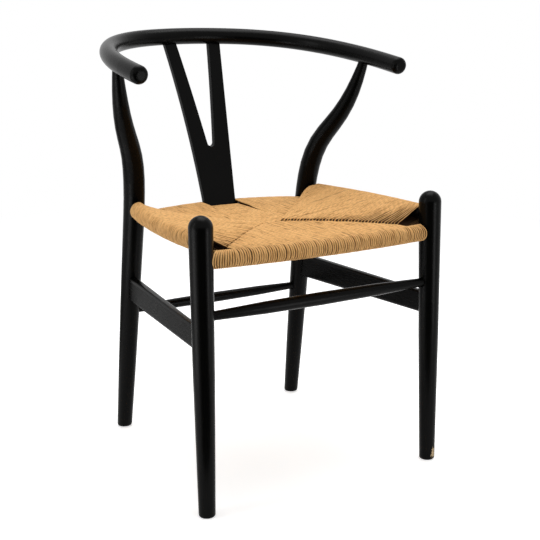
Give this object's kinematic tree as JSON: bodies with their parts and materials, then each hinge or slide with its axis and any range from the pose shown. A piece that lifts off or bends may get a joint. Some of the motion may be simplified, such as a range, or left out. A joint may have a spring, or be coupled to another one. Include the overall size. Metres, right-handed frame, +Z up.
{
  "type": "dining chair",
  "caption": "Wooden dining chair with a bent bow that is back rest and arm rests in one, a forked splat, turned legs and a woven cord seat.",
  "frame": {"origin": "on the floor, under the middle of the chair's outline", "axes": "+Z up, +X to the chair's right as seen from the front, -Y is the way the chair faces"},
  "size_m": [0.5388, 0.5241, 0.76],
  "materials": {
    "black_lacquered_wood": "satin black lacquer",
    "paper_cord": "matt twisted paper",
    "tack_steel": "plain steel"
  },
  "bodies": {
    "root": {"top_bow": "black_lacquered_wood", "back_splat": "black_lacquered_wood", "front_leg_left": "black_lacquered_wood", "front_leg_right": "black_lacquered_wood", "back_leg_left": "black_lacquered_wood", "back_leg_right": "black_lacquered_wood", "front_seat_rail": "black_lacquered_wood", "back_seat_rail": "black_lacquered_wood", "left_seat_rail": "black_lacquered_wood", "right_seat_rail": "black_lacquered_wood", "front_stretcher": "black_lacquered_wood", "back_stretcher": "black_lacquered_wood", "left_side_stretcher": "black_lacquered_wood", "right_side_stretcher": "black_lacquered_wood", "seat_weave_front": "paper_cord", "seat_weave_left": "paper_cord", "seat_weave_right": "paper_cord", "seat_weave_back_left": "paper_cord", "seat_weave_back_right": "paper_cord", "seat_weave_centre": "paper_cord", "front_rail_windings": "paper_cord", "cord_tacks": "tack_steel"}
  },
  "joints": []
}
